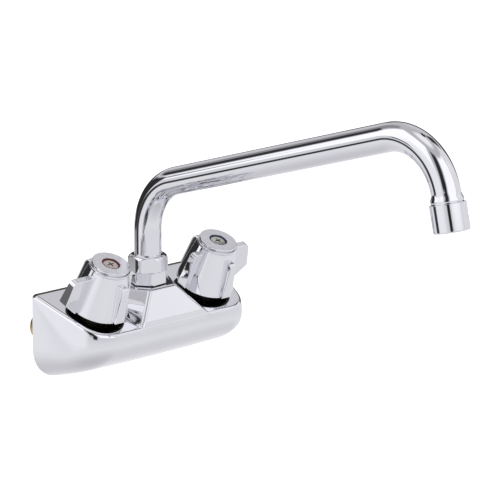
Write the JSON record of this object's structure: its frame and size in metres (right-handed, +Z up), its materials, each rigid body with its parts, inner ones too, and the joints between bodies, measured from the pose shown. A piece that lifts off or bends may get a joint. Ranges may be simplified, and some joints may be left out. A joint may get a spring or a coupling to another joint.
{
  "type": "commercial wall faucet",
  "caption": "Wall-mounted kitchen faucet with a cast body, lever-pronged hot and cold handles, and a bent tubular spout that swings and ends in an aerator.",
  "frame": {"origin": "on the wall plane, midway between the two water inlets and at the height of their axes", "axes": "+Z up, +Y into the wall, -Y towards the user, +X to the user's right (cold side)"},
  "size_m": [0.1722, 0.3526, 0.2117],
  "materials": {
    "chrome": "polished chrome plate",
    "brass": "machined, unplated",
    "rubber": "matte black",
    "ceramic": "lapped white alumina ceramic",
    "steel": "bright stainless steel",
    "copper_screw": "copper-coloured plated screw",
    "brass_screw": "yellow passivated screw",
    "nylon": "white moulded plastic",
    "hot_index": "red index ring",
    "cold_index": "blue index ring"
  },
  "bodies": {
    "faucet_body": {"body_casting": "chrome", "hot_inlet_nipple": "brass", "cold_inlet_nipple": "brass", "spout_adapter": "chrome", "spout_adapter_gasket": "rubber", "spout_nut": "chrome", "hot_valve_bonnet": "brass", "hot_bonnet_gasket": "rubber", "hot_fixed_disc": "ceramic", "hot_seat_seal": "rubber", "cold_valve_bonnet": "brass", "cold_bonnet_gasket": "rubber", "cold_fixed_disc": "ceramic", "cold_seat_seal": "rubber"},
    "hot_handle": {"hot_handle": "chrome", "hot_index_ring": "hot_index", "hot_handle_screw": "copper_screw", "hot_spindle": "brass", "hot_spindle_o_ring": "rubber", "hot_retaining_clip": "steel", "hot_turning_disc": "ceramic"},
    "cold_handle": {"cold_handle": "chrome", "cold_index_ring": "cold_index", "cold_handle_screw": "brass_screw", "cold_spindle": "brass", "cold_spindle_o_ring": "rubber", "cold_retaining_clip": "steel", "cold_turning_disc": "ceramic"},
    "spout": {"spout_tube": "chrome", "swivel_sleeve": "brass", "spout_snap_ring": "steel", "spout_o_ring_upper": "rubber", "spout_o_ring_lower": "rubber", "aerator_shell": "chrome", "aerator_washer": "rubber", "aerator_insert": "nylon", "aerator_screen": "steel"}
  },
  "joints": [
    {"name": "hot_turn", "type": "hinge", "parent": "faucet_body", "child": "hot_handle", "pos_m": [-0.0508, -0.0287, 0.0214], "axis": [0, -0.3923, 0.9198], "range_deg": [0, 90]},
    {"name": "cold_turn", "type": "hinge", "parent": "faucet_body", "child": "cold_handle", "pos_m": [0.0508, -0.0287, 0.0214], "axis": [0, -0.3923, 0.9198], "range_deg": [-90, 0]},
    {"name": "spout_swing", "type": "hinge", "parent": "faucet_body", "child": "spout", "pos_m": [0, -0.026, 0.05], "axis": [0, 0, 1], "range_deg": [-90, 90]}
  ]
}
